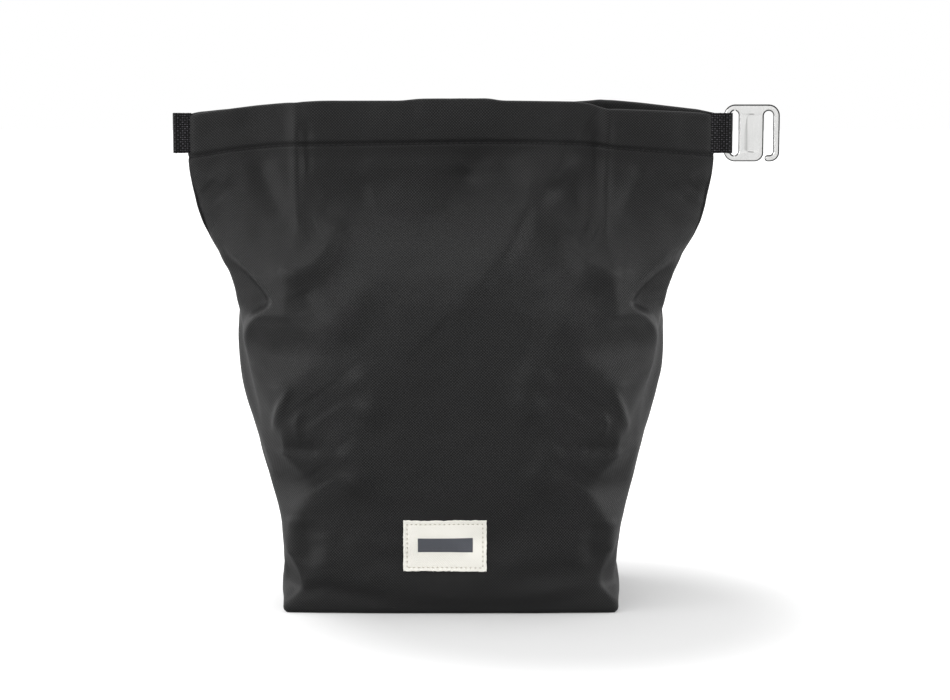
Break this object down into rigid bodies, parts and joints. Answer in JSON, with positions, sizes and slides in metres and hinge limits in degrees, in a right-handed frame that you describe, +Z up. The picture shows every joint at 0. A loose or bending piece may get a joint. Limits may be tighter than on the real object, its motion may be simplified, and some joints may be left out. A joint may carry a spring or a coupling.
{
  "type": "cooler bag",
  "caption": "Black roll-top cooler bag with a boxed base, foam-padded walls, a lined interior, and a flat metal hook on a webbing strap at the end of its mouth.",
  "frame": {"origin": "centre of the base's underside, on the floor", "axes": "+X towards the end of the mouth with the hook, -Y out of the front that carries the label, +Z up through the mouth"},
  "size_m": [0.3799, 0.1296, 0.316],
  "materials": {
    "outer_fabric": "matt woven polyester",
    "webbing": "ribbed woven webbing",
    "foam": "matt closed-cell foam",
    "lining": "satin film",
    "board": "matt",
    "label": "matt woven cotton",
    "label_print": "matt print",
    "hook_metal": "satin with polished edges"
  },
  "bodies": {
    "bag": {"base_panel": "outer_fabric", "base_board": "board", "base_foam": "foam", "base_lining": "lining", "front_panel": "outer_fabric", "front_foam": "foam", "front_lining": "lining", "back_panel": "outer_fabric", "back_foam": "foam", "back_lining": "lining", "label": "label", "label_print": "label_print"},
    "collar": {"front_collar": "outer_fabric", "front_collar_lining": "lining", "back_collar": "outer_fabric", "back_collar_lining": "lining"},
    "lip": {"front_hem": "outer_fabric", "front_hem_webbing": "webbing", "back_hem": "outer_fabric", "back_hem_webbing": "webbing"},
    "hook_strap": {"hook_strap": "webbing"},
    "hook": {"hook": "hook_metal"},
    "loop_tab": {"loop_tab": "webbing"}
  },
  "joints": [
    {"name": "collar_fold", "type": "hinge", "parent": "bag", "child": "collar", "pos_m": [0, -0.0162, 0.258], "axis": [-1, 0, 0], "range_deg": [-148, 0]},
    {"name": "lip_fold", "type": "hinge", "parent": "collar", "child": "lip", "pos_m": [0, -0.0094, 0.288], "axis": [1, 0, 0], "range_deg": [0, 165]},
    {"name": "strap_bend", "type": "hinge", "parent": "lip", "child": "hook_strap", "pos_m": [0.1655, 0, 0.2929], "axis": [0, 0, 1], "range_deg": [-60, 60]},
    {"name": "hook_swivel", "type": "hinge", "parent": "hook_strap", "child": "hook", "pos_m": [0.1727, 0, 0.2929], "axis": [0, 0, 1], "range_deg": [-100, 100]},
    {"name": "tab_bend", "type": "hinge", "parent": "lip", "child": "loop_tab", "pos_m": [-0.1655, 0, 0.2929], "axis": [0, 0, 1], "range_deg": [-60, 60]}
  ]
}
